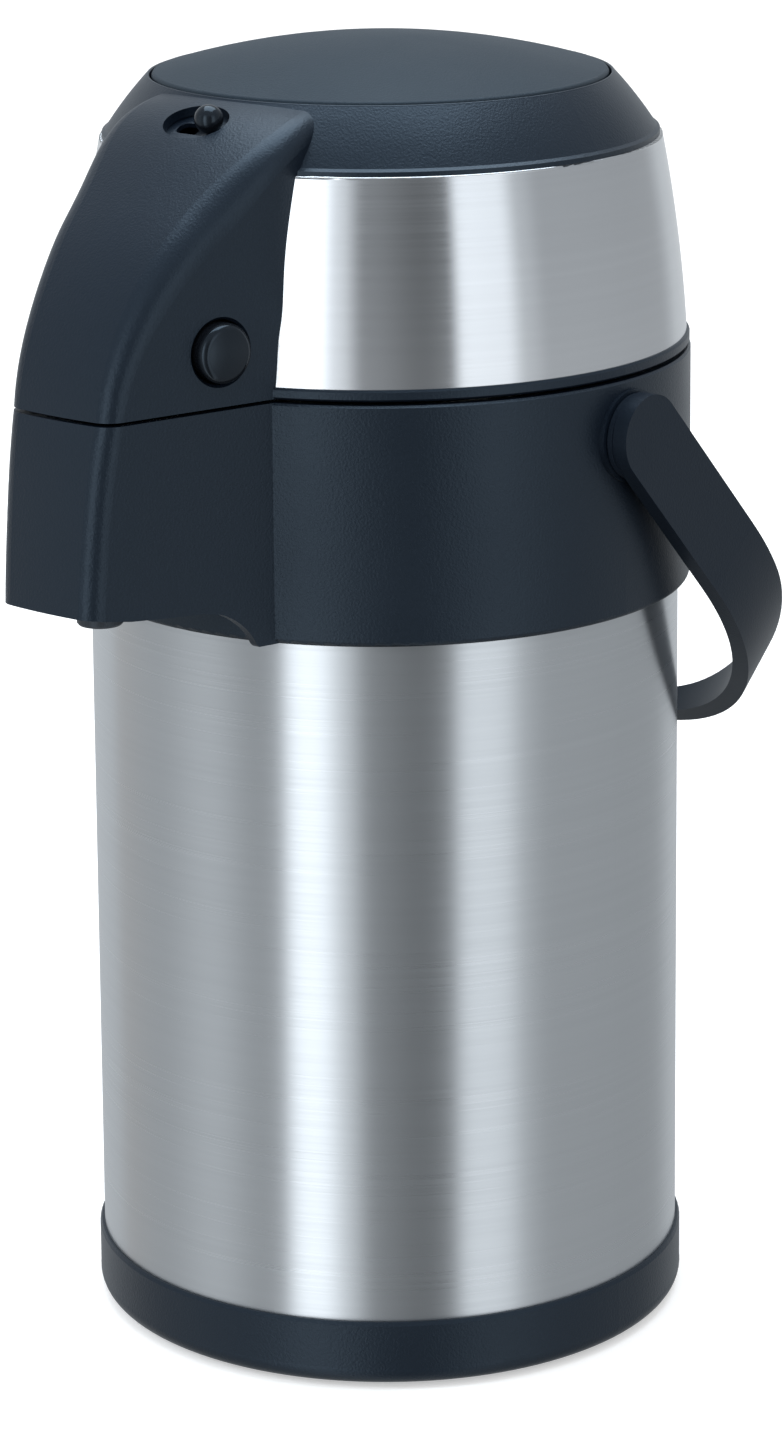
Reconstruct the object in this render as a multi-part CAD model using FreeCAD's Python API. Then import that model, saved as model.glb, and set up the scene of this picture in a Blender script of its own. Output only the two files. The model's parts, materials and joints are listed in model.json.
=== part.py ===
import FreeCAD, Part
import math
import os

# Thermal coffee airpot: a steel vacuum flask with a hand pump in its hinged lid.
# Millimetres, +Z up. The origin is the centre of the non-slip pad that it stands on.
# The spout points to -Y, the lid hinge is at +Y and the handle pivots lie on the X axis.

Vector = FreeCAD.Vector
UP = Vector(0, 0, 1)
AXIS_X = Vector(1, 0, 0)
FORWARD = Vector(0, -1, 0)
ORIGIN = Vector(0, 0, 0)

# ---- driving dimensions ----
BODY_R = 82.0            # outer radius of the steel shell
SHEET = 0.8              # thickness of every steel sheet
FOOT_TOP = 19.4
FOOT_R = 83.3
PAD_T = 2.0
SHELL_FOOT = 12.0        # lower edge of the shell, inside the foot
SHELL_SHOULDER = 213.0   # where the shell turns in, hidden by the collar
LINER_R = 74.0
LINER_FLOOR = 24.0
LINER_TOP = 203.0        # where the liner turns in to its neck
NECK_R = 38.2            # joint between the liner's neck and the shell's neck
NECK_TOP = 246.0

COLLAR_R = 85.3
COLLAR_BOTTOM = 209.2
SEAM = 274.1             # top of the collar
SEAM_GAP = 1.0
WALL = 2.6               # moulded walls
DECK_TOP = 263.5

BAND_FOOT = 278.2
BAND_TOP = 333.0
RIM = 349.8              # top of the lid shell round the press plate
PLATE_R = 62.7
POCKET_R = 63.3          # the well that the press plate slides in
CROWN = 359.5

PIPE_R = 6.0
PIPE_BORE = 4.8
PIPE_BACK = 24.0         # distance of the dip tube in front of the axis
PIPE_FRONT = 114.5       # distance of the nozzle in front of the axis
PIPE_Z = 254.5
PIPE_BEND = 14.0

HINGE_Y = 91.0
HINGE_Z = 273.5
KNUCKLE_R = 4.5
HINGE_PIN_R = 1.8

PIVOT_Y = 1.5
PIVOT_Z = 259.0
HANDLE_REST = 43.0       # degrees that the handle hangs behind the vertical
HANDLE_OUT = 92.5        # outer face of the handle's arms
HANDLE_T = 5.0
ARM_FRONT = 11.0         # arm width ahead of the pivot's centre line
ARM_BACK = 12.0          # arm width behind it
GRIP_W = 8.0
ARM_LENGTH = 55.0        # straight part of the arms
BEND_DEPTH = 82.5        # from the end of the straight part to the grip's outer face
BEND_WIDTH = 71.0
PIVOT_PIN_R = 3.5

BUTTON_R = 8.0
BUTTON_FORWARD = 95.0
BUTTON_Z = 289.6

LOCK_FORWARD = 74.7      # centre of the lock's oval recess, on the slope of the hood
LOCK_Z = 345.2
LOCK_SLOPE = 25.0        # degrees that the hood slopes there
LOCK_X = 5.0             # where the knob rests; it slides the same distance past the middle
KNOB_R = 3.9

# ---- plan of the guard and hood: two side walls that close in towards the front ----
SIDE_FORWARD = 80.0      # where SIDE_HALF is measured
SIDE_HALF = 30.1
SIDE_TAPER = 0.25        # each wall closes in by this much per mm forward
BULGE = 1.3              # how far the front bows out between its corners


def side_half(forward):
    """Half width of the hood and guard at a place ahead of the axis."""
    return SIDE_HALF - SIDE_TAPER * (forward - SIDE_FORWARD)


def crown_half(forward):
    """Half width near the top of the hood, which closes in again towards the press plate."""
    return min(side_half(forward), 32.1 - 0.15 * (72.0 - forward))


# ---- drawing helpers ----
def edge_to(last, point, place):
    """A line, or an arc where the point carries the place that it passes through first."""
    end = place(point[-2], point[-1])
    if len(point) == 4:
        return Part.Arc(last, place(point[0], point[1]), end).toShape(), end
    return Part.LineSegment(last, end).toShape(), end


def closed_wire(points, place):
    edges = []
    last = place(points[0][-2], points[0][-1])
    for point in points[1:] + points[:1]:
        edge, last = edge_to(last, point, place)
        edges.append(edge)
    return Part.Wire(edges)


def lathe(points):
    """Turn an outline of (radius, height) points about the Z axis."""
    wire = closed_wire(points, lambda r, z: Vector(r, 0, z))
    return Part.Face(wire).revolve(ORIGIN, UP, 360)


def slab_x(points, x_from, x_to):
    """Extrude an outline of (y, z) points along X."""
    wire = closed_wire(points, lambda y, z: Vector(x_from, y, z))
    return Part.Face(wire).extrude(Vector(x_to - x_from, 0, 0))


def ring(r_in, r_out, z_from, z_to):
    return lathe([(r_in, z_from), (r_out, z_from), (r_out, z_to), (r_in, z_to)])


def post(radius, base, direction, length):
    return Part.makeCylinder(radius, length, base, direction)


def box(x, y, z):
    """A box from three (low, high) pairs."""
    size = (x[1] - x[0], y[1] - y[0], z[1] - z[0])
    return Part.makeBox(*size, Vector(x[0], y[0], z[0]))


def mirrored(shape):
    return shape.mirror(ORIGIN, AXIS_X)


def both_sides(shape):
    return Part.makeCompound([shape, mirrored(shape)])


def joined(first, *others):
    return first.fuse(list(others)).removeSplitter()


def pipe_path(inset=0.0):
    """Up out of the neck, forward over the collar and down into the spout."""
    bend = PIPE_BEND
    low = PIPE_Z - bend
    corner = bend * (1 - math.sqrt(0.5))
    points = [
        Vector(0, -PIPE_BACK, 230.0 - inset),
        Vector(0, -PIPE_BACK, low),
        Vector(0, -PIPE_BACK - corner, PIPE_Z - corner),
        Vector(0, -PIPE_BACK - bend, PIPE_Z),
        Vector(0, -PIPE_FRONT + bend, PIPE_Z),
        Vector(0, -PIPE_FRONT + corner, PIPE_Z - corner),
        Vector(0, -PIPE_FRONT, low),
        Vector(0, -PIPE_FRONT, 224.0 - inset),
    ]
    edges = [
        Part.LineSegment(points[0], points[1]).toShape(),
        Part.Arc(points[1], points[2], points[3]).toShape(),
        Part.LineSegment(points[3], points[4]).toShape(),
        Part.Arc(points[4], points[5], points[6]).toShape(),
        Part.LineSegment(points[6], points[7]).toShape(),
    ]
    return Part.Wire(edges)


def pipe_solid(radius, inset=0.0):
    path = pipe_path(inset)
    start = path.Vertexes[0].Point
    section = Part.Wire(Part.makeCircle(radius, start, UP))
    return path.makePipeShell([section], True, False)


# ---- spout guard and hood surfaces ----
def hood_section(place, half_at, front, corner, bulge, back, inset):
    """One closed section: side walls, rounded corners and a slightly bowed front.

    place maps (lateral, ahead) into space and half_at gives the side wall's half width.
    """
    reach = front - bulge - inset
    corner_x = half_at(reach) - inset
    slope = half_at(reach) - half_at(reach + 1.0)
    # unit directions from the corner, back along the side wall and in along the front
    side = Vector(slope, -1.0, 0).normalize()
    face = Vector(-1.0, 2 * bulge / corner_x, 0).normalize()
    bisector = (side + face).normalize()
    half_angle = side.getAngle(face) / 2
    radius = corner - inset
    apex = Vector(corner_x, reach, 0)
    start = apex + side * (radius / math.tan(half_angle))
    end = apex + face * (radius / math.tan(half_angle))
    middle = apex + bisector * (radius / math.sin(half_angle) - radius)
    right = [(half_at(back) - inset, back)] + [(p.x, p.y) for p in (start, middle, end)]
    spots = [place(lateral, ahead) for lateral, ahead in right]
    mirror = [place(-lateral, ahead) for lateral, ahead in right]
    nose = place(0, front - inset)
    edges = [
        Part.LineSegment(spots[0], spots[1]).toShape(),
        Part.Arc(spots[1], spots[2], spots[3]).toShape(),
        Part.Arc(spots[3], nose, mirror[3]).toShape(),
        Part.Arc(mirror[3], mirror[2], mirror[1]).toShape(),
        Part.LineSegment(mirror[1], mirror[0]).toShape(),
        Part.LineSegment(mirror[0], spots[0]).toShape(),
    ]
    return Part.Wire(edges)


def guard_block(inset, low, high):
    """The part of the spout guard below the seam, lofted down its nose."""
    # (height, distance of the nose ahead of the axis)
    nose = [(278.0, 128.7), (265.0, 131.7), (252.0, 133.6), (238.0, 135.1), (216.0, 136.3)]
    wires = []
    for z, front in nose:
        def place(lateral, ahead, z=z):
            return Vector(lateral, -ahead, z)
        wires.append(hood_section(place, side_half, front, 6.5, BULGE, 60.0, inset))
    block = Part.makeLoft(wires, True, False)
    return block.common(box((-60, 60), (-200, 0), (low, high)))


def hood_block(inset):
    """The hood above the seam, as sections fanned about a line inside the lid."""
    hub_forward = 60.0
    hub_z = SEAM + SEAM_GAP
    # (degrees above the horizontal, distance from the hub to the ridge, corner radius, bulge)
    fan = [(-8, 70.7, 6.5, 1.3), (0, 69.6, 6.5, 1.3), (15, 67.0, 7.5, 1.3), (30, 64.9, 9.0, 1.3),
           (45, 64.2, 9.5, 1.5), (60, 65.6, 9.5, 1.8), (75, 70.4, 7.5, 2.4), (90, 75.2, 6.5, 3.0),
           (100, 78.0, 6.5, 3.2)]
    wires = []
    for degrees, reach, corner, bulge in fan:
        rise = math.sin(math.radians(degrees))
        run = math.cos(math.radians(degrees))
        width = crown_half if degrees > 70 else side_half

        def place(lateral, ahead, rise=rise, run=run):
            return Vector(lateral, -hub_forward - ahead * run, hub_z + ahead * rise)

        def half_at(ahead, run=run, width=width):
            return width(hub_forward + ahead * run)
        wires.append(hood_section(place, half_at, reach, corner, bulge, 6.0, inset))
    block = Part.makeLoft(wires, True, False)
    return block.common(box((-60, 60), (-200, 0), (hub_z, 400)))


# ---- foot and flask ----
def foot_ring():
    return lathe([
        (0, PAD_T), (76.0, PAD_T), (76.0, 0.8), (79.0, 0.8), (82.2, 2.3, FOOT_R, 6.0),
        (FOOT_R, FOOT_TOP - 1.0), (FOOT_R - 0.5, FOOT_TOP), (BODY_R + 0.05, FOOT_TOP),
        (BODY_R + 0.05, SHELL_FOOT), (79.4, SHELL_FOOT), (79.4, 5.0), (0, 5.0)])


def base_pad():
    return lathe([(0, 0), (74.6, 0), (75.6, 1.0), (75.6, PAD_T), (0, PAD_T)])


def outer_shell():
    return ring(BODY_R - SHEET, BODY_R, SHELL_FOOT, SHELL_SHOULDER)


def shell_shoulder():
    """The steel top that is welded to the shell and turns in to the neck."""
    inner = BODY_R - SHEET
    turn = 8.0
    far = turn * math.sqrt(0.5)
    near = (turn - SHEET) * math.sqrt(0.5)
    bend_r = BODY_R - turn
    return lathe([
        (bend_r + near, SHELL_SHOULDER + near, inner, SHELL_SHOULDER), (BODY_R, SHELL_SHOULDER),
        (bend_r + far, SHELL_SHOULDER + far, bend_r, SHELL_SHOULDER + turn),
        (44.0, 229.0), (NECK_R + SHEET, 234.0), (NECK_R + SHEET, NECK_TOP), (NECK_R, NECK_TOP),
        (NECK_R, 233.6), (43.6, 228.2), (bend_r, SHELL_SHOULDER + turn - SHEET)])


def shell_bottom():
    edge = BODY_R - SHEET
    return lathe([(0, 18.0), (60.0, 18.0), (66.0, 14.0), (edge, 14.0), (edge, 14.0 + SHEET),
                  (66.3, 14.0 + SHEET), (60.3, 18.0 + SHEET), (0, 18.0 + SHEET)])


def vacuum_plug():
    return lathe([(0, 16.2), (5.0, 16.2), (7.0, 18.0), (0, 18.0)])


def inner_liner():
    inner = LINER_R - SHEET
    low = 13.0
    half = math.sqrt(0.5)
    floor = LINER_FLOOR
    return lathe([
        (0, floor), (LINER_R - low, floor),
        (LINER_R - low + low * half, floor + low - low * half, LINER_R, floor + low),
        (LINER_R, LINER_TOP), (inner, LINER_TOP), (inner, floor + low),
        (LINER_R - low + (low - SHEET) * half, floor + low - (low - SHEET) * half,
         LINER_R - low, floor + SHEET), (0, floor + SHEET)])


def liner_neck():
    """The liner's top, which narrows to the mouth that the pump's tube goes down."""
    inner = LINER_R - SHEET
    turn = 10.0
    half = math.sqrt(0.5)
    return lathe([
        (LINER_R - turn + (turn - SHEET) * half, LINER_TOP + (turn - SHEET) * half,
         inner, LINER_TOP), (LINER_R, LINER_TOP),
        (LINER_R - turn + turn * half, LINER_TOP + turn * half, LINER_R - turn, LINER_TOP + turn),
        (44.5, 220.0), (NECK_R, 227.0), (NECK_R, NECK_TOP), (NECK_R - SHEET, NECK_TOP),
        (NECK_R - SHEET, 226.6), (44.0, 219.2), (LINER_R - turn, LINER_TOP + turn - SHEET)])


def neck_seal():
    return ring(36.2, 40.5, NECK_TOP, NECK_TOP + 2.2)


def deck_screw_places():
    return [(74.0 * math.cos(math.radians(a)), 74.0 * math.sin(math.radians(a)))
            for a in (40, 140, 220, 320)]


def throat_ring():
    """The inner ring of the deck, pressed up under its lip, that the lid's gasket seals on."""
    throat = lathe([
        (34.0, NECK_TOP + 2.2), (40.5, NECK_TOP + 2.2), (40.5, 258.5), (49.0, 259.8), (49.0, 261.2),
        (43.9, 261.2), (43.9, 262.2), (34.8, 262.2), (34.0, 261.4)])
    return throat.cut(pipe_solid(PIPE_R + 0.05))


def neck_deck():
    deck = lathe([
        (44.0, 261.2), (49.1, 261.2), (49.1, 259.8), (50.0, 260.0), (60.0, 261.0),
        (82.5, 261.0), (82.5, DECK_TOP), (56.0, DECK_TOP), (52.0, 262.2), (44.0, 262.2)])
    for x, y in deck_screw_places():
        deck = deck.cut(post(1.6, Vector(x, y, 255), UP, 12))
    for side in (-1, 1):
        deck = deck.cut(post(6.8, Vector(side * 80.0 - 4.5, PIVOT_Y, PIVOT_Z), AXIS_X, 9.0))
    return deck.cut(pipe_solid(PIPE_R + 0.05))


def deck_screws():
    screws = []
    for x, y in deck_screw_places():
        head = post(3.0, Vector(x, y, DECK_TOP), UP, 1.8)
        shank = post(1.5, Vector(x, y, 252.0), UP, DECK_TOP - 252.0)
        screws.append(head.fuse(shank))
    return Part.makeCompound(screws)


def collar():
    inner = COLLAR_R - WALL
    body = lathe([
        (BODY_R + 0.05, COLLAR_BOTTOM), (83.9, COLLAR_BOTTOM),
        (84.9, COLLAR_BOTTOM + 0.4, COLLAR_R, COLLAR_BOTTOM + 1.4), (COLLAR_R, SEAM - 0.6),
        (COLLAR_R - 0.6, SEAM), (inner, SEAM), (inner, 261.0), (78.5, 261.0), (78.5, 258.5),
        (inner, 254.5), (inner, 217.0), (BODY_R + 0.05, 216.0)])
    guard = guard_block(0, 200, SEAM)
    hollow = guard_block(WALL, 200, SEAM)
    core = post(COLLAR_R - 0.5, Vector(0, 0, 190), UP, 100)
    guard = guard.cut(hollow).cut(core)
    # the lower edge runs level from the nose and sweeps down beside the collar
    below = slab_x([(-150, 190), (-150, 225.2), (-134.0, 224.2), (-123.0, 222.4), (-110.0, 221.4),
                    (-101.0, 220.9), (-96.0, 219.8), (-90.0, 216.1, -85.3, 209.9),
                    (-84.6, COLLAR_BOTTOM), (-60, COLLAR_BOTTOM), (-60, 190)], -60, 60)
    guard = guard.cut(below)
    body = joined(body, guard)
    for x, y in deck_screw_places():
        boss = post(4.5, Vector(x * 1.04, y * 1.04, 246), UP, 15).common(
            post(inner + 0.4, Vector(0, 0, 240), UP, 30))
        body = joined(body, boss)
        body = body.cut(post(1.55, Vector(x, y, 250), UP, 12))
    body = body.cut(post(PIPE_R + 0.3, Vector(0, -70, PIPE_Z), FORWARD, 25))
    # bosses that carry the handle
    pad = post(12.6, Vector(80.0, PIVOT_Y, PIVOT_Z), AXIS_X, 6.2)
    pad = pad.cut(post(inner + 1.0, Vector(0, 0, 240), UP, 40))
    socket = post(6.5, Vector(76.5, PIVOT_Y, PIVOT_Z), AXIS_X, 7.5)
    body = joined(body, pad, mirrored(pad), socket, mirrored(socket))
    hole = post(PIVOT_PIN_R, Vector(77.5, PIVOT_Y, PIVOT_Z), AXIS_X, 12)
    body = body.cut(hole).cut(mirrored(hole))
    # hinge lugs
    for x in (12.0, -24.0):
        lug = slab_x([(84.0, 255.0), (HINGE_Y + 1.0, HINGE_Z - 8.0), (HINGE_Y + KNUCKLE_R, HINGE_Z),
                      (84.0, HINGE_Z)], x, x + 12.0)
        knuckle = post(KNUCKLE_R, Vector(x, HINGE_Y, HINGE_Z), AXIS_X, 12.0)
        body = joined(body, lug, knuckle)
    body = body.cut(post(HINGE_PIN_R, Vector(-24.0, HINGE_Y, HINGE_Z), AXIS_X, 48.0))
    # ledges inside the guard that the lid's latches catch under
    ledge = catch_ledge()
    return joined(body, ledge, mirrored(ledge))


def catch_ledge():
    front = BUTTON_FORWARD + 6.0
    back = BUTTON_FORWARD - 6.0
    outer = side_half(front) - 0.8
    inner = side_half(BUTTON_FORWARD) - 5.8
    return box((inner, outer), (-front, -back), (266.0, 268.5))


def guard_floor():
    floor = guard_block(WALL + 0.15, 226.5, 228.5)
    floor = floor.cut(post(COLLAR_R + 0.1, Vector(0, 0, 200), UP, 60))
    return floor.cut(post(7.6, Vector(0, -PIPE_FRONT, 200), UP, 60))


def hinge_pin():
    shank = post(HINGE_PIN_R, Vector(-24.0, HINGE_Y, HINGE_Z), AXIS_X, 48.0)
    heads = [post(2.6, Vector(x, HINGE_Y, HINGE_Z), AXIS_X, 0.8) for x in (-24.8, 24.0)]
    return joined(shank, *heads)


def pivot_pins():
    pin = post(PIVOT_PIN_R, Vector(77.5, PIVOT_Y, PIVOT_Z), AXIS_X, 12.5)
    return both_sides(pin)


# ---- delivery line ----
def delivery_pipe():
    return pipe_solid(PIPE_R).cut(pipe_solid(PIPE_BORE, 1.0))


def spout_nozzle():
    sleeve = PIPE_R + 0.02
    shape = lathe([(4.9, 217.0), (5.7, 217.0), (6.2, 217.6), (6.2, 222.0), (7.4, 223.0), (7.4, 236.0),
                   (sleeve, 236.0), (sleeve, 224.0), (4.9, 224.0)])
    shape.translate(Vector(0, -PIPE_FRONT, 0))
    return shape


def tube_coupling():
    shape = lathe([(4.75, 220.0), (7.0, 220.0), (8.2, 222.0), (8.2, 238.0), (PIPE_R + 0.02, 240.0),
                   (PIPE_R + 0.02, 230.0), (4.75, 230.0)])
    shape.translate(Vector(0, -PIPE_BACK, 0))
    return shape


def dip_tube():
    tube = ring(3.7, 4.7, 28.0, 236.0)
    slant = slab_x([(-6, 20), (6, 20), (6, 34), (-6, 28)], -6, 6)
    tube = tube.cut(slant)
    tube.translate(Vector(0, -PIPE_BACK, 0))
    return tube


# ---- lid ----
def lid_band():
    band = lathe([(83.42, BAND_FOOT), (84.2, BAND_FOOT), (81.6, 306.0, 77.4, BAND_TOP - 0.7),
                  (77.2, BAND_TOP - 0.1, 76.62, BAND_TOP), (80.82, 306.0, 83.42, BAND_FOOT + 0.01)])
    return band.cut(hood_block(0)).Solids[0]


def lid_core():
    """Shoulder, seat of the steel band, bottom ring and the press plate's well."""
    low = SEAM + SEAM_GAP
    return lathe([
        (81.0, low), (84.4, low), (85.0, low + 0.6), (85.0, 277.6), (84.6, BAND_FOOT),
        (83.4, BAND_FOOT), (80.8, 306.0, 76.6, BAND_TOP + 0.1), (76.6, 334.2), (75.6, 334.9),
        (71.0, 341.4, 64.2, RIM - 0.3), (63.8, RIM, POCKET_R, RIM - 0.4),
        (POCKET_R, 322.0), (65.6, 322.0), (65.6, 344.6), (69.2, 340.8, 73.4, 333.6),
        (78.0, 306.0, 80.8, 281.0)])


def lid_inside():
    """The room inside the lid, which the hood's walls stay out of: they end within the core."""
    pocket = POCKET_R + 0.6
    return lathe([(0, 270.0), (81.7, 270.0), (81.6, 281.0), (78.8, 306.0, 74.2, 333.6),
                  (70.0, 340.8, 66.4, 344.6), (pocket, 344.6), (pocket, 400.0), (0, 400.0)])


def hood_side_frame():
    """Where the release button sits: its centre on the right wall and the outward normal."""
    centre = Vector(side_half(BUTTON_FORWARD), -BUTTON_FORWARD, BUTTON_Z)
    normal = Vector(1.0, -SIDE_TAPER, 0)
    normal.normalize()
    return centre, normal


def lid_screw_places():
    return [(76.0 * math.cos(math.radians(a)), 76.0 * math.sin(math.radians(a)))
            for a in (35, 145, 215, 325)]


def lid_shell():
    hood = hood_block(0).cut(hood_block(WALL))
    hood = hood.cut(lid_inside())
    shell = joined(lid_core(), hood)
    # button wells
    centre, normal = hood_side_frame()
    sleeve = post(BUTTON_R + 2.2, centre - normal * 4.6, normal, 4.1)
    shell = joined(shell, sleeve, mirrored(sleeve))
    well = post(BUTTON_R + 0.6, centre - normal * 8.0, normal, 14.0)
    well = well.fuse(Part.makeCone(BUTTON_R + 0.5, BUTTON_R + 1.6, 1.2, centre - normal * 0.9, normal))
    shell = shell.cut(well).cut(mirrored(well))
    # oval recess of the lock's knob, room for its slider and the window for its tab
    shell = shell.cut(lock_recess())
    shell = shell.cut(on_slope(box((-13.1, 13.1), (-9.3, 8.1), (-9.5, -3.0))))
    shell = shell.cut(box((-11.5, 11.5), (-74.0, -60.0), (335.6, 340.8)))
    # screw posts
    for x, y in lid_screw_places():
        screw_post = post(4.2, Vector(x, y, 279.6), UP, 12.0).common(
            lathe([(0, 270), (83.2, 270), (83.2, BAND_FOOT), (82.2, 292.0), (0, 292.0)]))
        shell = joined(shell, screw_post)
        shell = shell.cut(post(1.35, Vector(x, y, 279.0), UP, 10.0))
    # rear knuckle
    low = SEAM + SEAM_GAP
    lug = box((-11.6, 11.6), (83.0, HINGE_Y), (low, low + 2.8))
    knuckle = post(KNUCKLE_R, Vector(-11.6, HINGE_Y, HINGE_Z), AXIS_X, 23.2)
    shell = joined(shell, lug, knuckle)
    return shell.cut(post(HINGE_PIN_R + 0.06, Vector(-12.0, HINGE_Y, HINGE_Z), AXIS_X, 24.0))


def on_slope(shape):
    """Move a shape from the lock's own frame, whose Z is square to the hood, into place."""
    shape.rotate(ORIGIN, AXIS_X, LOCK_SLOPE)
    shape.translate(Vector(0, -LOCK_FORWARD, LOCK_Z))
    return shape


def lock_recess():
    oval = Part.Ellipse(Vector(0, 0, -3.0), 10.3, 7.4).toShape()
    return on_slope(Part.Face(Part.Wire(oval)).extrude(Vector(0, 0, 15.0)))


def lid_floor():
    floor = lathe([
        (5.0, 266.5), (48.0, 266.5), (48.0, 276.8), (80.6, 276.8), (80.6, 279.5), (46.0, 279.5),
        (46.0, 269.0), (5.0, 269.0)])
    for x, y in lid_screw_places():
        floor = floor.cut(post(1.6, Vector(x, y, 270), UP, 12))
    return floor


def lid_screws():
    screws = []
    for x, y in lid_screw_places():
        head = post(2.8, Vector(x, y, 275.2), UP, 1.6)
        shank = post(1.3, Vector(x, y, 276.8), UP, 11.0)
        screws.append(head.fuse(shank))
    return Part.makeCompound(screws)


def neck_gasket():
    return lathe([(36.5, 266.5), (36.5, 264.0), (38.0, 262.6), (42.5, 262.6), (45.0, 265.0),
                  (45.0, 266.5)])


def delivery_flap():
    return lathe([(0, 265.2), (10.0, 265.2), (10.0, 266.5), (4.9, 266.5), (4.9, 268.0), (0, 268.0)])


def bellows():
    folds = 6
    low = 269.0
    high = 336.0
    pitch = (high - low - 6.0) / folds
    skin = 1.2
    outside = [(36.0, low), (41.0, low), (41.0, low + 3.0)]
    inside = []
    for fold in range(folds):
        z = low + 3.0 + fold * pitch
        outside += [(44.0, z + pitch * 0.5), (38.0, z + pitch)]
        inside += [(44.0 - skin * 1.8, z + pitch * 0.5), (38.0 - skin * 1.2, z + pitch)]
    outside += [(41.0, high - 3.0), (41.0, high)]
    inside = [(38.0, low + 3.0)] + inside
    return lathe(outside + [(36.0, high)] + [(36.0, high - 2.0)] + inside[::-1] + [(36.0, low + 2.0)])


def return_spring():
    turns = 7
    low = 270.35
    high = 330.0
    wire_r = 1.3
    radius = 17.0
    helix = Part.makeHelix((high - low) / turns, high - low, radius)
    start = Vector(radius, 0, 0)
    section = Part.Wire(Part.makeCircle(wire_r, start, Vector(0, 1, 0)))
    spring = Part.Wire(helix.Edges).makePipeShell([section], True, True)
    spring.translate(Vector(0, 0, low))
    return spring


def dome_point(radius, top, edge):
    """A point half way out on a spherical dome that falls from top to edge at this radius."""
    drop = top - edge
    ball = (radius ** 2 + drop ** 2) / (2 * drop)
    return radius / 2, top - ball + math.sqrt(ball ** 2 - radius ** 2 / 4)


def press_plate():
    """Domed top, skirt that slides in the well, and the seat of the bellows."""
    skin = 2.4
    edge = RIM + 0.8
    plate = lathe([
        (0, CROWN - skin), dome_point(60.2, CROWN - skin, edge - 4.2) + (60.2, edge - 4.2),
        (60.2, 338.5), (PLATE_R, 338.5), (PLATE_R, edge - 1.6), (62.4, edge - 0.5, 61.4, edge),
        dome_point(61.4, CROWN, edge) + (0, CROWN)])
    seat = lathe([(34.0, 336.0), (41.5, 336.0), (41.5, 338.0), (36.5, 338.0), (36.5, 355.2),
                  (34.0, 355.2)])
    return joined(plate, seat)


def spring_cup():
    return lathe([(0, 331.35), (20.0, 331.35), (20.0, 334.0), (35.9, 334.0), (35.9, 336.0),
                  (18.2, 336.0), (18.2, 333.2), (0, 333.2)])


def inlet_valve():
    return lathe([(0, 329.9), (9.0, 329.9), (9.0, 331.35), (0, 331.35)])


# ---- lock ----
def lock_slider():
    plate = on_slope(box((LOCK_X - 7.0, LOCK_X + 7.0), (-7.0, 3.5), (-6.4, -4.6)))
    stem = on_slope(post(2.0, Vector(LOCK_X, 0, -5.0), UP, 5.0))
    knob = on_slope(Part.makeSphere(KNOB_R, Vector(LOCK_X, 0, 0.9)))
    tab = box((LOCK_X - 4.5, LOCK_X + 4.5), (-76.0, -63.9), (336.2, 340.0))
    tab = tab.cut(on_slope(box((-30, 30), (-30, 30), (-4.6, 20.0))))
    return joined(plate, tab, stem, knob)


def lock_guide():
    """Floor of the recess, with the slot that the knob's stem slides in."""
    reach = LOCK_X + 2.4
    floor = box((-13.0, 13.0), (-9.2, 8.0), (-4.3, -3.05))
    slot = box((-reach + 2.4, reach - 2.4), (-2.4, 2.4), (-6, 0))
    ends = [post(2.4, Vector(x, 0, -6), UP, 6.0) for x in (-LOCK_X, LOCK_X)]
    return on_slope(floor.cut(slot.fuse(ends)))


# ---- release buttons ----
def release_button():
    """Domed button, the arm behind it and the latch nose that hangs into the guard."""
    centre, normal = hood_side_frame()
    turned = lathe([(0, -7.0), (BUTTON_R, -7.0), (BUTTON_R, 1.2), (7.4, 2.8, 5.8, 3.6),
                    dome_point(5.8, 4.2, 3.6) + (0, 4.2)])
    turned.Placement = FreeCAD.Placement(centre, FreeCAD.Rotation(UP, normal))
    inner = side_half(BUTTON_FORWARD) - 7.0
    arm = box((inner - 3.0, inner + 0.6), (-BUTTON_FORWARD - 5.0, -BUTTON_FORWARD + 5.0),
              (262.5, BUTTON_Z + 5.0))
    return joined(turned, arm)


# ---- handle ----
def handle_face(offset):
    """Closed face inside the bail's outline at this offset from its outer surface."""
    outer = HANDLE_OUT - offset
    wide = BEND_WIDTH - offset
    deep = BEND_DEPTH - offset
    centre = outer - wide
    top = ARM_BACK + 4.0
    arcs = []
    for side in (1, -1):
        hub = Vector(side * centre, 0, -ARM_LENGTH)
        ellipse = Part.Ellipse(hub + Vector(0, 0, -deep), hub + Vector(side * wide, 0, 0), hub)
        ends = [hub + Vector(side * wide, 0, 0), hub + Vector(0, 0, -deep)]
        params = sorted(ellipse.parameter(p) for p in ends)
        if params[1] - params[0] > math.pi:
            params = [params[1], params[0] + 2 * math.pi]
        arcs.append(Part.ArcOfEllipse(ellipse, params[0], params[1]).toShape())
    grip = Part.LineSegment(Vector(centre, 0, -ARM_LENGTH - deep),
                            Vector(-centre, 0, -ARM_LENGTH - deep)).toShape()
    sides = [Part.LineSegment(Vector(s * outer, 0, top), Vector(s * outer, 0, -ARM_LENGTH)).toShape()
             for s in (1, -1)]
    lid = Part.LineSegment(Vector(outer, 0, top), Vector(-outer, 0, top)).toShape()
    wire = Part.Wire(Part.__sortEdges__([lid, sides[0], arcs[0], grip, arcs[1], sides[1]]))
    return Part.Face(wire)


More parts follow.
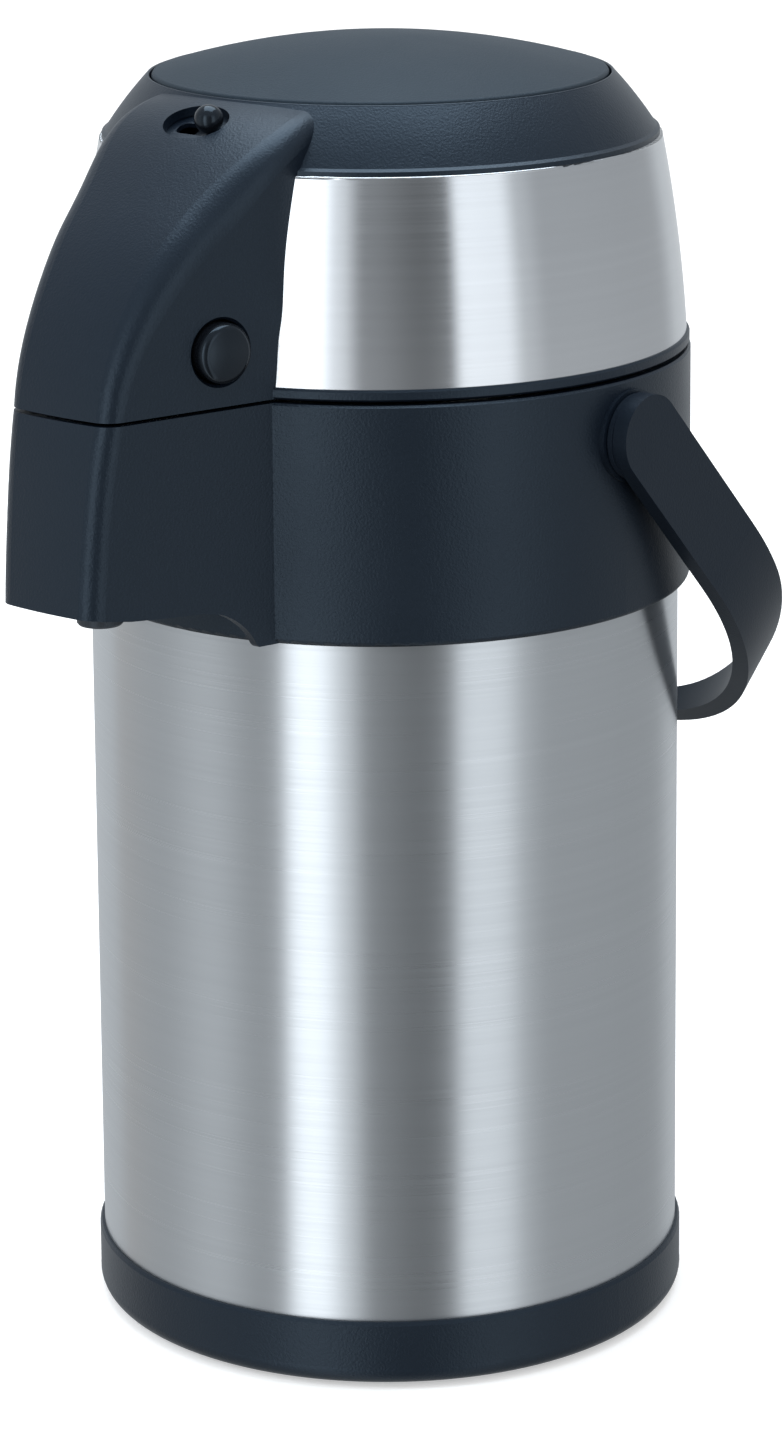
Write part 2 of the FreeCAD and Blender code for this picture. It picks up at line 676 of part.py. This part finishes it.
def handle():
    width = 40.0
    solid = handle_face(0).extrude(Vector(0, width, 0))
    solid = solid.cut(handle_face(HANDLE_T).extrude(Vector(0, width, 0)))
    solid.translate(Vector(0, -width / 2, 0))
    # side profile: round at the pivot, parallel arms, then the rear edge closes in on the grip
    grip_back = GRIP_W - ARM_FRONT
    end = ARM_LENGTH + BEND_DEPTH + 2.0
    profile = slab_x([
        (0.5, 11.5, -ARM_FRONT, 0), (-ARM_FRONT, -end), (grip_back, -end), (grip_back, -end + 8.0),
        (7.3, -108.0, ARM_BACK, -78.0), (ARM_BACK, 0)], -120, 120)
    bail = solid.common(profile)
    boss = post(11.5, Vector(86.5, 0, 0), AXIS_X, HANDLE_OUT - HANDLE_T - 86.5 + 0.5)
    bail = joined(bail, boss, mirrored(boss))
    bore = post(PIVOT_PIN_R + 0.06, Vector(86.0, 0, 0), AXIS_X, 4.6)
    bail = bail.cut(bore).cut(mirrored(bore))
    bail.rotate(ORIGIN, AXIS_X, HANDLE_REST)
    bail.translate(Vector(0, PIVOT_Y, PIVOT_Z))
    return bail


def all_parts():
    button = release_button()
    return {
        "foot_ring": foot_ring(),
        "base_pad": base_pad(),
        "outer_shell": outer_shell(),
        "shell_shoulder": shell_shoulder(),
        "shell_bottom": shell_bottom(),
        "vacuum_plug": vacuum_plug(),
        "inner_liner": inner_liner(),
        "liner_neck": liner_neck(),
        "neck_seal": neck_seal(),
        "throat_ring": throat_ring(),
        "neck_deck": neck_deck(),
        "deck_screws": deck_screws(),
        "collar": collar(),
        "guard_floor": guard_floor(),
        "hinge_pin": hinge_pin(),
        "handle_pivot_pins": pivot_pins(),
        "delivery_pipe": delivery_pipe(),
        "spout_nozzle": spout_nozzle(),
        "tube_coupling": tube_coupling(),
        "dip_tube": dip_tube(),
        "lid_shell": lid_shell(),
        "lid_band": lid_band(),
        "lid_floor": lid_floor(),
        "lid_screws": lid_screws(),
        "neck_gasket": neck_gasket(),
        "delivery_flap": delivery_flap(),
        "bellows": bellows(),
        "return_spring": return_spring(),
        "press_plate": press_plate(),
        "spring_cup": spring_cup(),
        "inlet_valve": inlet_valve(),
        "lock_slider": lock_slider(),
        "lock_guide": lock_guide(),
        "release_button_right": button,
        "release_button_left": mirrored(button),
        "handle": handle(),
    }


def main():
    os.makedirs("parts", exist_ok=True)
    for name, shape in all_parts().items():
        print(name, "valid" if shape.isValid() else "NOT VALID", len(shape.Solids),
              round(shape.Volume / 1000.0, 2), "cm3")
        shape.exportStep("parts/" + name + ".step")


main()
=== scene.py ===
import json
import math
import bmesh
import bpy
from mathutils import Matrix, Vector


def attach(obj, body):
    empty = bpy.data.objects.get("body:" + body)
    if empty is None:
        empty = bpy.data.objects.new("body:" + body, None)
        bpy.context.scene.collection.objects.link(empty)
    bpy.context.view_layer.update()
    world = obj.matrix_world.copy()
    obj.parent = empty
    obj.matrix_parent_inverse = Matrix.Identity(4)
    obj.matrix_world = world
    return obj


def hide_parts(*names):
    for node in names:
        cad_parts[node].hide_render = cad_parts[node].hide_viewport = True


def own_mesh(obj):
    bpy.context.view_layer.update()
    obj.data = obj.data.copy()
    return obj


# ---- camera: tipped down a little, with part of the framing taken by the shift ----
CAMERA_PLACE = (0.8326, -0.9729, 0.5347)
CAMERA_AZIMUTH = 40.558
CAMERA_PITCH = 11.716
CAMERA_ROLL = -0.485
LENS_MM = 118.3
CAMERA_SHIFT = (0.0062, -0.25)


def add_camera():
    data = bpy.data.cameras.new("camera")
    data.lens = LENS_MM
    data.sensor_width = 36.0
    data.sensor_fit = "AUTO"
    data.shift_x, data.shift_y = CAMERA_SHIFT
    data.clip_start = 0.01
    data.clip_end = 100.0
    camera = bpy.data.objects.new("camera", data)
    turn = Matrix.Rotation(math.radians(CAMERA_AZIMUTH), 4, "Z")
    tip = Matrix.Rotation(math.radians(90.0 - CAMERA_PITCH), 4, "X")
    roll = Matrix.Rotation(math.radians(CAMERA_ROLL), 4, "Z")
    camera.matrix_world = Matrix.Translation(CAMERA_PLACE) @ turn @ tip @ roll
    bpy.context.scene.collection.objects.link(camera)
    bpy.context.scene.camera = camera


add_camera()
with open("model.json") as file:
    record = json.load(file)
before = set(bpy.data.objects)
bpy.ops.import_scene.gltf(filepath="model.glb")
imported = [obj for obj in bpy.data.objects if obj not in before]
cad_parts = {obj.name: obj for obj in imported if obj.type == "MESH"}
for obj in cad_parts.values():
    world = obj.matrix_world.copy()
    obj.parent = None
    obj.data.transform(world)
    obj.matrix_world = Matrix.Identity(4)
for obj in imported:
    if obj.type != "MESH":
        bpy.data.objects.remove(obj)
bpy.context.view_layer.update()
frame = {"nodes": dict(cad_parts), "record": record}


# ---- material building ----
NOISE_SPREAD = (0.3, 0.7)      # where nearly all of a noise's values lie


def spread_range(tree, value, source, target):
    """The value, carried from one range to another and held inside it."""
    node = tree.nodes.new("ShaderNodeMapRange")
    node.inputs["From Min"].default_value, node.inputs["From Max"].default_value = source
    node.inputs["To Min"].default_value, node.inputs["To Max"].default_value = target
    tree.links.new(value, node.inputs["Value"])
    return node.outputs["Result"]


class Maker:
    """Small helper that adds nodes and links to one material."""

    def __init__(self, name, color, roughness, metallic=0.0):
        self.material = bpy.data.materials.new(name)
        self.material.use_nodes = True
        self.tree = self.material.node_tree
        self.shader = self.tree.nodes["Principled BSDF"]
        self.shader.inputs["Base Color"].default_value = (*color, 1.0)
        self.shader.inputs["Roughness"].default_value = roughness
        self.shader.inputs["Metallic"].default_value = metallic
        self.coordinates = self.node("ShaderNodeTexCoord").outputs["Object"]

    def node(self, kind, **settings):
        node = self.tree.nodes.new(kind)
        for key, value in settings.items():
            setattr(node, key, value)
        return node

    def link(self, a, b):
        self.tree.links.new(a, b)

    def noise(self, scale, detail=2.0, stretch=(1.0, 1.0, 1.0), roughness=0.5):
        mapping = self.node("ShaderNodeMapping")
        mapping.inputs["Scale"].default_value = stretch
        self.link(self.coordinates, mapping.inputs["Vector"])
        noise = self.node("ShaderNodeTexNoise")
        noise.inputs["Scale"].default_value = scale
        noise.inputs["Detail"].default_value = detail
        noise.inputs["Roughness"].default_value = roughness
        self.link(mapping.outputs["Vector"], noise.inputs["Vector"])
        return noise.outputs["Fac"]

    def rough(self, value, low, high):
        spread = spread_range(self.tree, value, NOISE_SPREAD, (low, high))
        self.link(spread, self.shader.inputs["Roughness"])

    def tint(self, value, first, second):
        mix = self.node("ShaderNodeMixRGB")
        mix.inputs["Color1"].default_value = (*first, 1.0)
        mix.inputs["Color2"].default_value = (*second, 1.0)
        self.link(value, mix.inputs["Fac"])
        self.link(mix.outputs["Color"], self.shader.inputs["Base Color"])

    def bump(self, value, depth, strength=1.0, before=None):
        bump = self.node("ShaderNodeBump")
        bump.inputs["Distance"].default_value = depth
        bump.inputs["Strength"].default_value = strength
        self.link(value, bump.inputs["Height"])
        if before is not None:
            self.link(before, bump.inputs["Normal"])
        self.link(bump.outputs["Normal"], self.shader.inputs["Normal"])
        return bump.outputs["Normal"]


BLUE_SHEEN = (0.64, 0.82, 1.0, 1.0)
GRAIN_SCALE = 1500.0


def plastic(name, color, low, high, grain, specular=0.5):
    """Moulded plastic: a fine grain, slightly uneven gloss, and a bluish sheen."""
    maker = Maker(name, color, (low + high) / 2)
    maker.shader.inputs["Specular IOR Level"].default_value = specular
    maker.shader.inputs["Specular Tint"].default_value = BLUE_SHEEN
    maker.rough(maker.noise(14.0, 4.0), low, high)
    lighter = tuple(c * 1.18 + 0.001 for c in color)
    darker = tuple(c * 0.88 for c in color)
    maker.tint(maker.noise(GRAIN_SCALE * 0.6, 2.0), darker, lighter)
    fine = maker.bump(maker.noise(GRAIN_SCALE, 3.0), grain)
    maker.bump(maker.noise(60.0, 2.0), 0.00008, 0.4, before=fine)
    return maker.material


def brushed(name, color, roughness, anisotropy):
    """Steel brushed round the Z axis: fine lines that run round, so highlights spread up and down."""
    maker = Maker(name, color, roughness, 1.0)
    maker.shader.inputs["Anisotropic"].default_value = anisotropy
    maker.shader.inputs["Anisotropic Rotation"].default_value = 0.25
    tangent = maker.node("ShaderNodeTangent", direction_type="RADIAL", axis="Z")
    maker.link(tangent.outputs["Tangent"], maker.shader.inputs["Tangent"])
    lines = maker.noise(1.0, 3.0, (6.0, 6.0, 2600.0))
    bands = maker.noise(1.0, 2.0, (3.0, 3.0, 500.0))
    maker.rough(lines, roughness - 0.03, roughness + 0.04)
    maker.tint(bands, tuple(c * 0.96 for c in color), tuple(min(1.0, c * 1.02) for c in color))
    maker.bump(lines, 0.000003, 0.08)
    return maker.material


def plain_metal(name, color, low, high):
    """Bare metal that is smooth to the touch."""
    maker = Maker(name, color, (low + high) / 2, 1.0)
    maker.rough(maker.noise(120.0, 3.0), low, high)
    maker.bump(maker.noise(700.0, 3.0), 0.00002, 0.5)
    return maker.material


def soft(name, color, low, high, clear=0.0):
    """Rubber or silicone; clear is how far light goes into it."""
    maker = Maker(name, color, (low + high) / 2)
    maker.shader.inputs["Specular IOR Level"].default_value = 0.4
    if clear:
        maker.shader.inputs["Subsurface Weight"].default_value = clear
        maker.shader.inputs["Subsurface Radius"].default_value = (0.002, 0.002, 0.002)
    maker.rough(maker.noise(90.0, 3.0), low, high)
    maker.bump(maker.noise(500.0, 2.0), 0.00004, 0.5)
    return maker.material


MATERIALS = {
    "steel_body": brushed("steel_body", (0.66, 0.68, 0.70), 0.30, 0.9),
    "steel_band": brushed("steel_band", (0.72, 0.73, 0.75), 0.17, 0.85),
    "steel_inner": plain_metal("steel_inner", (0.62, 0.63, 0.65), 0.16, 0.28),
    "black_shell": plastic("black_shell", (0.0024, 0.0048, 0.0096), 0.31, 0.41, 0.00010, specular=0.60),
    "black_plate": plastic("black_plate", (0.0065, 0.0115, 0.0170), 0.48, 0.58, 0.00012, specular=0.42),
    "black_gloss": plastic("black_gloss", (0.004, 0.005, 0.007), 0.12, 0.18, 0.000006),
    "black_handle": plastic("black_handle", (0.0048, 0.0080, 0.0140), 0.36, 0.46, 0.00005, specular=0.38),
    "inner_plastic": plastic("inner_plastic", (0.04, 0.042, 0.047), 0.35, 0.5, 0.00002),
    "white_plastic": plastic("white_plastic", (0.76, 0.76, 0.73), 0.3, 0.42, 0.00001),
    "grey_rubber": soft("grey_rubber", (0.05, 0.05, 0.053), 0.6, 0.8),
    "silicone": soft("silicone", (0.62, 0.62, 0.60), 0.35, 0.5, 0.15),
    "zinc_steel": plain_metal("zinc_steel", (0.60, 0.61, 0.64), 0.25, 0.4),
    "spring_steel": plain_metal("spring_steel", (0.5, 0.51, 0.53), 0.2, 0.32),
}


def dress(obj, slot):
    obj.data.materials.clear()
    obj.data.materials.append(MATERIALS[slot])


for part in frame["record"]["subparts"]:
    dress(frame["nodes"][part["node"]], part["material_slot"])


def folding(node, slot_name, name):
    """A copy of a CAD piece under the press plate, attached to the lid's body."""
    piece = bpy.data.objects.new(name, frame["nodes"][node].data.copy())
    bpy.context.scene.collection.objects.link(piece)
    dress(piece, slot_name)
    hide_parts(node)
    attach(piece, "lid")
    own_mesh(piece)


folding("bellows", "silicone", "bellows_skin")
folding("return_spring", "spring_steel", "spring_coil")


# The guard's side walls, in metres: each closes in towards the nose. "Ahead" is towards the nose.
WALL = 0.0024
WALL_HALF = 0.0301          # half the width between the walls' outer faces, at WALL_AHEAD
WALL_AHEAD = 0.080
WALL_TAPER = 0.25
LIP_TOP = 0.2160            # where the moulded wall ends
LIP_FOOT = 0.2092           # the collar's lower edge
LIP_BACK = 0.0785           # inside the collar
LIP_STEPS = 8


def lip_outline():
    """(ahead, height) of the lip's side: level on top, a sweep in front, a short foot below."""
    start, bend, end = (0.0899, LIP_TOP), (0.0872, 0.2137), (0.0853, 0.2099)
    outline = [(LIP_BACK, LIP_TOP)]
    for step in range(LIP_STEPS + 1):
        t = step / LIP_STEPS
        outline.append(tuple((1 - t) ** 2 * a + 2 * t * (1 - t) * b + t * t * c
                             for a, b, c in zip(start, bend, end)))
    return outline + [(0.0846, LIP_FOOT), (LIP_BACK, LIP_FOOT)]


def guard_lip(side):
    """The foot of the guard's side wall, which sweeps down to the collar's lower edge."""
    outline = lip_outline()
    points = []
    for depth in (0.0, WALL):
        for ahead, z in outline:
            half = WALL_HALF - WALL_TAPER * (ahead - WALL_AHEAD) - depth
            points.append((side * half, -ahead, z))
    count = len(outline)
    faces = [tuple(range(count)), tuple(range(2 * count - 1, count - 1, -1))]
    faces += [(i, i + count, (i + 1) % count + count, (i + 1) % count) for i in range(count)]
    mesh = bpy.data.meshes.new("guard_lip")
    mesh.from_pydata(points, [], faces)
    shape = bmesh.new()
    shape.from_mesh(mesh)
    bmesh.ops.recalc_face_normals(shape, faces=shape.faces)
    shape.to_mesh(mesh)
    shape.free()
    lip = bpy.data.objects.new("guard_lip_right" if side > 0 else "guard_lip_left", mesh)
    bpy.context.scene.collection.objects.link(lip)
    dress(lip, "black_shell")
    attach(lip, "pot")


for side in (1, -1):
    guard_lip(side)


# ---- studio ----
# (degrees round from +X, brightness) of the strips that the steel mirrors
STRIPS = [(-180, 0.20), (-150, 0.20), (-122, 0.27), (-100, 0.18), (-91, 0.19), (-86, 0.74),
          (-76, 0.70), (-66, 0.36), (-56, 0.13), (-34, 0.08), (-25, 0.10), (-19, 0.45),
          (-3, 0.43), (6, 0.25), (16, 0.19), (80, 0.17), (100, 0.24), (170, 0.25)]
STRIP_TONE = (0.94, 0.99, 1.03)
CEILING = (0.13, 0.14, 0.15, 1.0)


def strip_light_world():
    """Bright and dark upright strips round the object, as a ramp over the direction's azimuth."""
    world = bpy.data.worlds.new("studio")
    bpy.context.scene.world = world
    world.use_nodes = True
    tree = world.node_tree
    nodes = tree.nodes
    links = tree.links
    direction = nodes.new("ShaderNodeTexCoord").outputs["Generated"]
    split = nodes.new("ShaderNodeSeparateXYZ")
    links.new(direction, split.inputs["Vector"])
    angle = nodes.new("ShaderNodeMath")
    angle.operation = "ARCTAN2"
    links.new(split.outputs["Y"], angle.inputs[0])
    links.new(split.outputs["X"], angle.inputs[1])
    share = spread_range(tree, angle.outputs["Value"], (-math.pi, math.pi), (0.0, 1.0))
    ramp = nodes.new("ShaderNodeValToRGB")
    ramp.color_ramp.interpolation = "EASE"
    links.new(share, ramp.inputs["Fac"])
    spots = ramp.color_ramp.elements
    while len(spots) > 1:
        spots.remove(spots[-1])
    spots[0].position = 0.0
    first_level = STRIPS[0][1]
    spots[0].color = (first_level, first_level, first_level, 1.0)
    for degrees, level in STRIPS[1:]:
        spot = spots.new((degrees + 180.0) / 360.0)
        spot.color = (*(level * tone for tone in STRIP_TONE), 1.0)
    # higher up the strips are brighter and their contrast is stronger
    height = split.outputs["Z"]
    strength = spread_range(tree, height, (-0.6, 0.2), (1.9, 3.4))
    contrast = nodes.new("ShaderNodeGamma")
    links.new(ramp.outputs["Color"], contrast.inputs["Color"])
    links.new(spread_range(tree, height, (-0.15, 0.2), (1.0, 1.25)), contrast.inputs["Gamma"])
    # overhead they fade into one even ceiling
    ceiling = nodes.new("ShaderNodeMixRGB")
    ceiling.inputs["Color2"].default_value = CEILING
    links.new(spread_range(tree, height, (0.3, 0.65), (0.0, 1.0)), ceiling.inputs["Fac"])
    links.new(contrast.outputs["Color"], ceiling.inputs["Color1"])
    background = nodes["Background"]
    links.new(strength, background.inputs["Strength"])
    links.new(ceiling.outputs["Color"], background.inputs["Color"])


def area_light(name, place, target, size, power, color):
    data = bpy.data.lights.new(name, "AREA")
    data.shape = "RECTANGLE"
    data.size, data.size_y = size
    data.energy = power
    data.color = color
    light = bpy.data.objects.new(name, data)
    light.location = place
    light.rotation_euler = (Vector(target) - Vector(place)).to_track_quat("-Z", "Y").to_euler()
    bpy.context.scene.collection.objects.link(light)
    return light


def glow(name, diffuse, emission):
    """A matt white surface that also gives light."""
    material = bpy.data.materials.new(name)
    material.use_nodes = True
    shader = material.node_tree.nodes["Principled BSDF"]
    shader.inputs["Base Color"].default_value = (diffuse, diffuse, diffuse, 1.0)
    shader.inputs["Roughness"].default_value = 0.9
    shader.inputs["Specular IOR Level"].default_value = 0.0
    shader.inputs["Emission Color"].default_value = (1.0, 1.0, 1.0, 1.0)
    shader.inputs["Emission Strength"].default_value = emission
    return material


FLOOR_RADIUS = 8.0
COOL_LIGHT = (0.80, 0.91, 1.0)


def studio():
    """White floor and white dome, two soft lights, and strips that only reflections see."""
    strip_light_world()
    bpy.ops.mesh.primitive_circle_add(radius=FLOOR_RADIUS, fill_type="NGON", vertices=64)
    floor = bpy.context.object
    floor.name = "floor"
    floor.data.materials.append(glow("floor", 0.75, 0.42))
    floor.visible_glossy = False
    floor.visible_diffuse = False
    bpy.ops.mesh.primitive_uv_sphere_add(radius=FLOOR_RADIUS - 0.1, segments=48, ring_count=24)
    dome = bpy.context.object
    dome.name = "backdrop"
    dome.data.materials.append(glow("backdrop", 0.0, 1.0))
    mesh = bmesh.new()
    mesh.from_mesh(dome.data)
    bmesh.ops.delete(mesh, geom=[v for v in mesh.verts if v.co.z < -0.3], context="VERTS")
    mesh.to_mesh(dome.data)
    mesh.free()
    dome.visible_glossy = False
    dome.visible_shadow = False
    area_light("top", (-0.1, 0.2, 1.5), (0, 0, 0.3), (1.2, 1.2), 15.0, COOL_LIGHT)
    key = area_light("key", (-0.9, -1.3, 1.1), (0, 0, 0.25), (0.5, 1.0), 10.0, COOL_LIGHT)
    key.visible_glossy = False


studio()
scene = bpy.context.scene
scene.view_settings.view_transform = "Standard"
